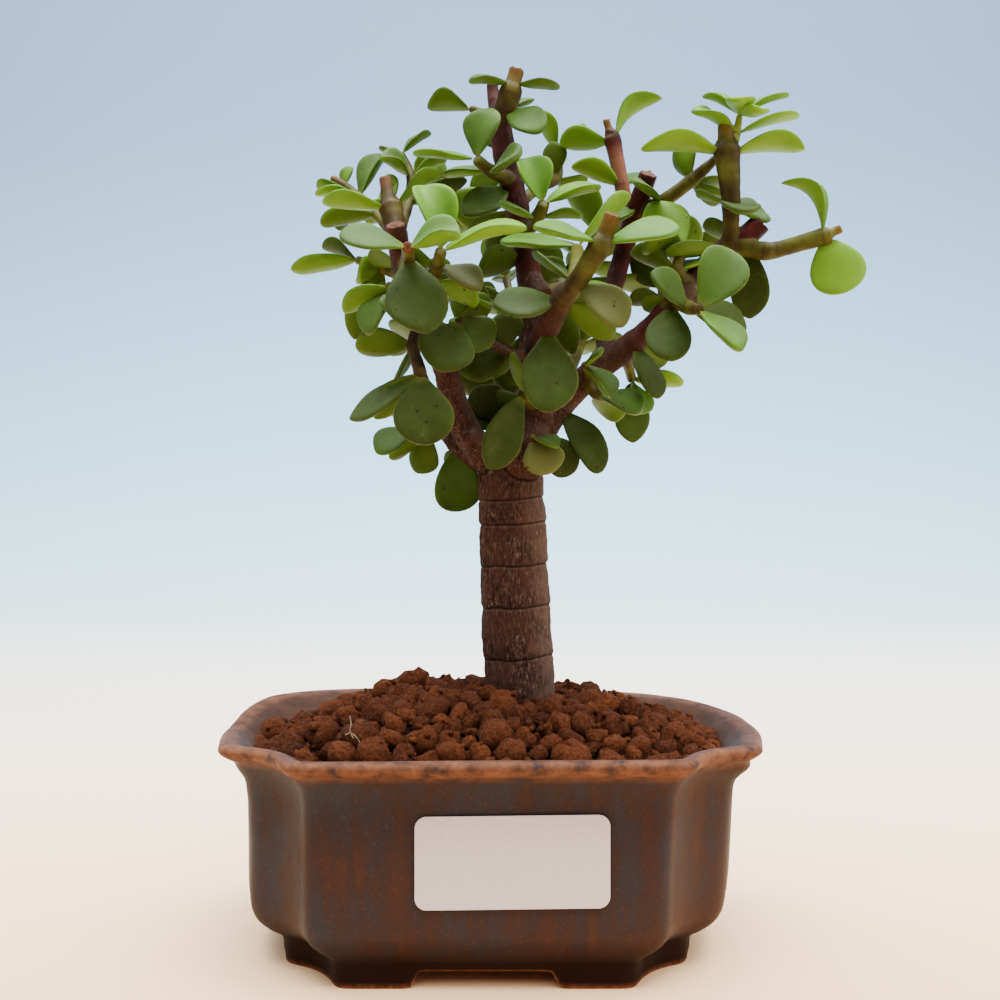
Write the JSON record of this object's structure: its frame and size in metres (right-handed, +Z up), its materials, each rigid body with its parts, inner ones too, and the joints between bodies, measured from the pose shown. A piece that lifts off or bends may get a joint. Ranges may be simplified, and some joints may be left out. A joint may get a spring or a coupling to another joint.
{
  "type": "potted succulent bonsai",
  "caption": "Living ornament: a small succulent bonsai with a straight ringed trunk and a spreading crown of thick round leaves, rooted in coarse soil in a lobed glazed pot on short feet.",
  "frame": {"origin": "middle of the whole object's footprint, on the surface the pot's feet stand on", "axes": "+Z up along the trunk, +X to the viewer's right along the pot's long side, -Y towards the viewer, where the label is"},
  "size_m": [0.145, 0.0922, 0.2001],
  "materials": {
    "glaze": "satin reddish and olive brown glaze with blue-grey streaks on stoneware",
    "soil": "rough porous fired-clay granules",
    "screen": "dark moulded mesh",
    "wire": "copper-coloured anodised wire",
    "bark": "fibrous grey-brown bark, smooth burgundy and tan young shoots",
    "leaf": "living succulent leaf with a waxy half-gloss skin",
    "label": "blank matt label"
  },
  "bodies": {
    "root": {"pot": "glaze", "drain_screen_left": "screen", "drain_wire_left": "wire", "drain_screen_right": "screen", "drain_wire_right": "wire", "soil": "soil", "trunk_and_branches": "bark", "blank_label": "label", "leaves_top_pair": "leaf", "leaves_top_front_pair": "leaf", "leaves_top_left_leaf": "leaf", "leaves_upper_left_pair": "leaf", "leaves_upper_left_low_pair": "leaf", "leaves_centre_top_pair": "leaf", "leaves_centre_low_pair": "leaf", "leaves_back_upper_pair": "leaf", "leaves_pink_pair": "leaf", "leaves_pink_low_pair": "leaf", "leaves_tan_end_pair": "leaf", "leaves_shoot_pair": "leaf", "leaves_shoot_low_pair": "leaf", "leaves_axil_pair": "leaf", "leaves_right_end_pair": "leaf", "leaves_right_hanging_leaf": "leaf", "leaves_right_mid_leaf": "leaf", "leaves_right_front_pair": "leaf", "leaves_right_front_low_pair": "leaf", "leaves_right_drop_leaf": "leaf", "leaves_right_up_pair": "leaf", "leaves_front_pair": "leaf", "leaves_front_low_pair": "leaf", "leaves_front_hanging_leaf": "leaf", "leaves_front_base_pair": "leaf", "leaves_olive_pair": "leaf", "leaves_leader_pair": "leaf", "leaves_mid_left_pair": "leaf", "leaves_mid_left_end_pair": "leaf", "leaves_low_front_pair": "leaf", "leaves_trunk_top_pair": "leaf", "leaves_right_base_leaf": "leaf", "leaves_right_low_pair": "leaf", "leaves_right_under_pair": "leaf", "leaves_left_hanging_pair": "leaf", "leaves_left_hanging_low_pair": "leaf", "leaves_left_mid_pair": "leaf", "leaves_left_side_pair": "leaf", "leaves_left_front_pair": "leaf", "leaves_left_front_leaf": "leaf", "leaves_centre_left_pair": "leaf", "leaves_left_crown_pair": "leaf", "leaves_left_back_pair": "leaf", "leaves_leader_leaf": "leaf", "leaves_back_left_pair": "leaf", "leaves_back_right_pair": "leaf", "leaves_back_low_pair": "leaf", "leaves_back_middle_pair": "leaf", "leaves_back_left_low_pair": "leaf", "leaves_back_far_right_pair": "leaf", "leaves_low_left_pair": "leaf", "leaves_lowest_leaf": "leaf"}
  },
  "joints": []
}
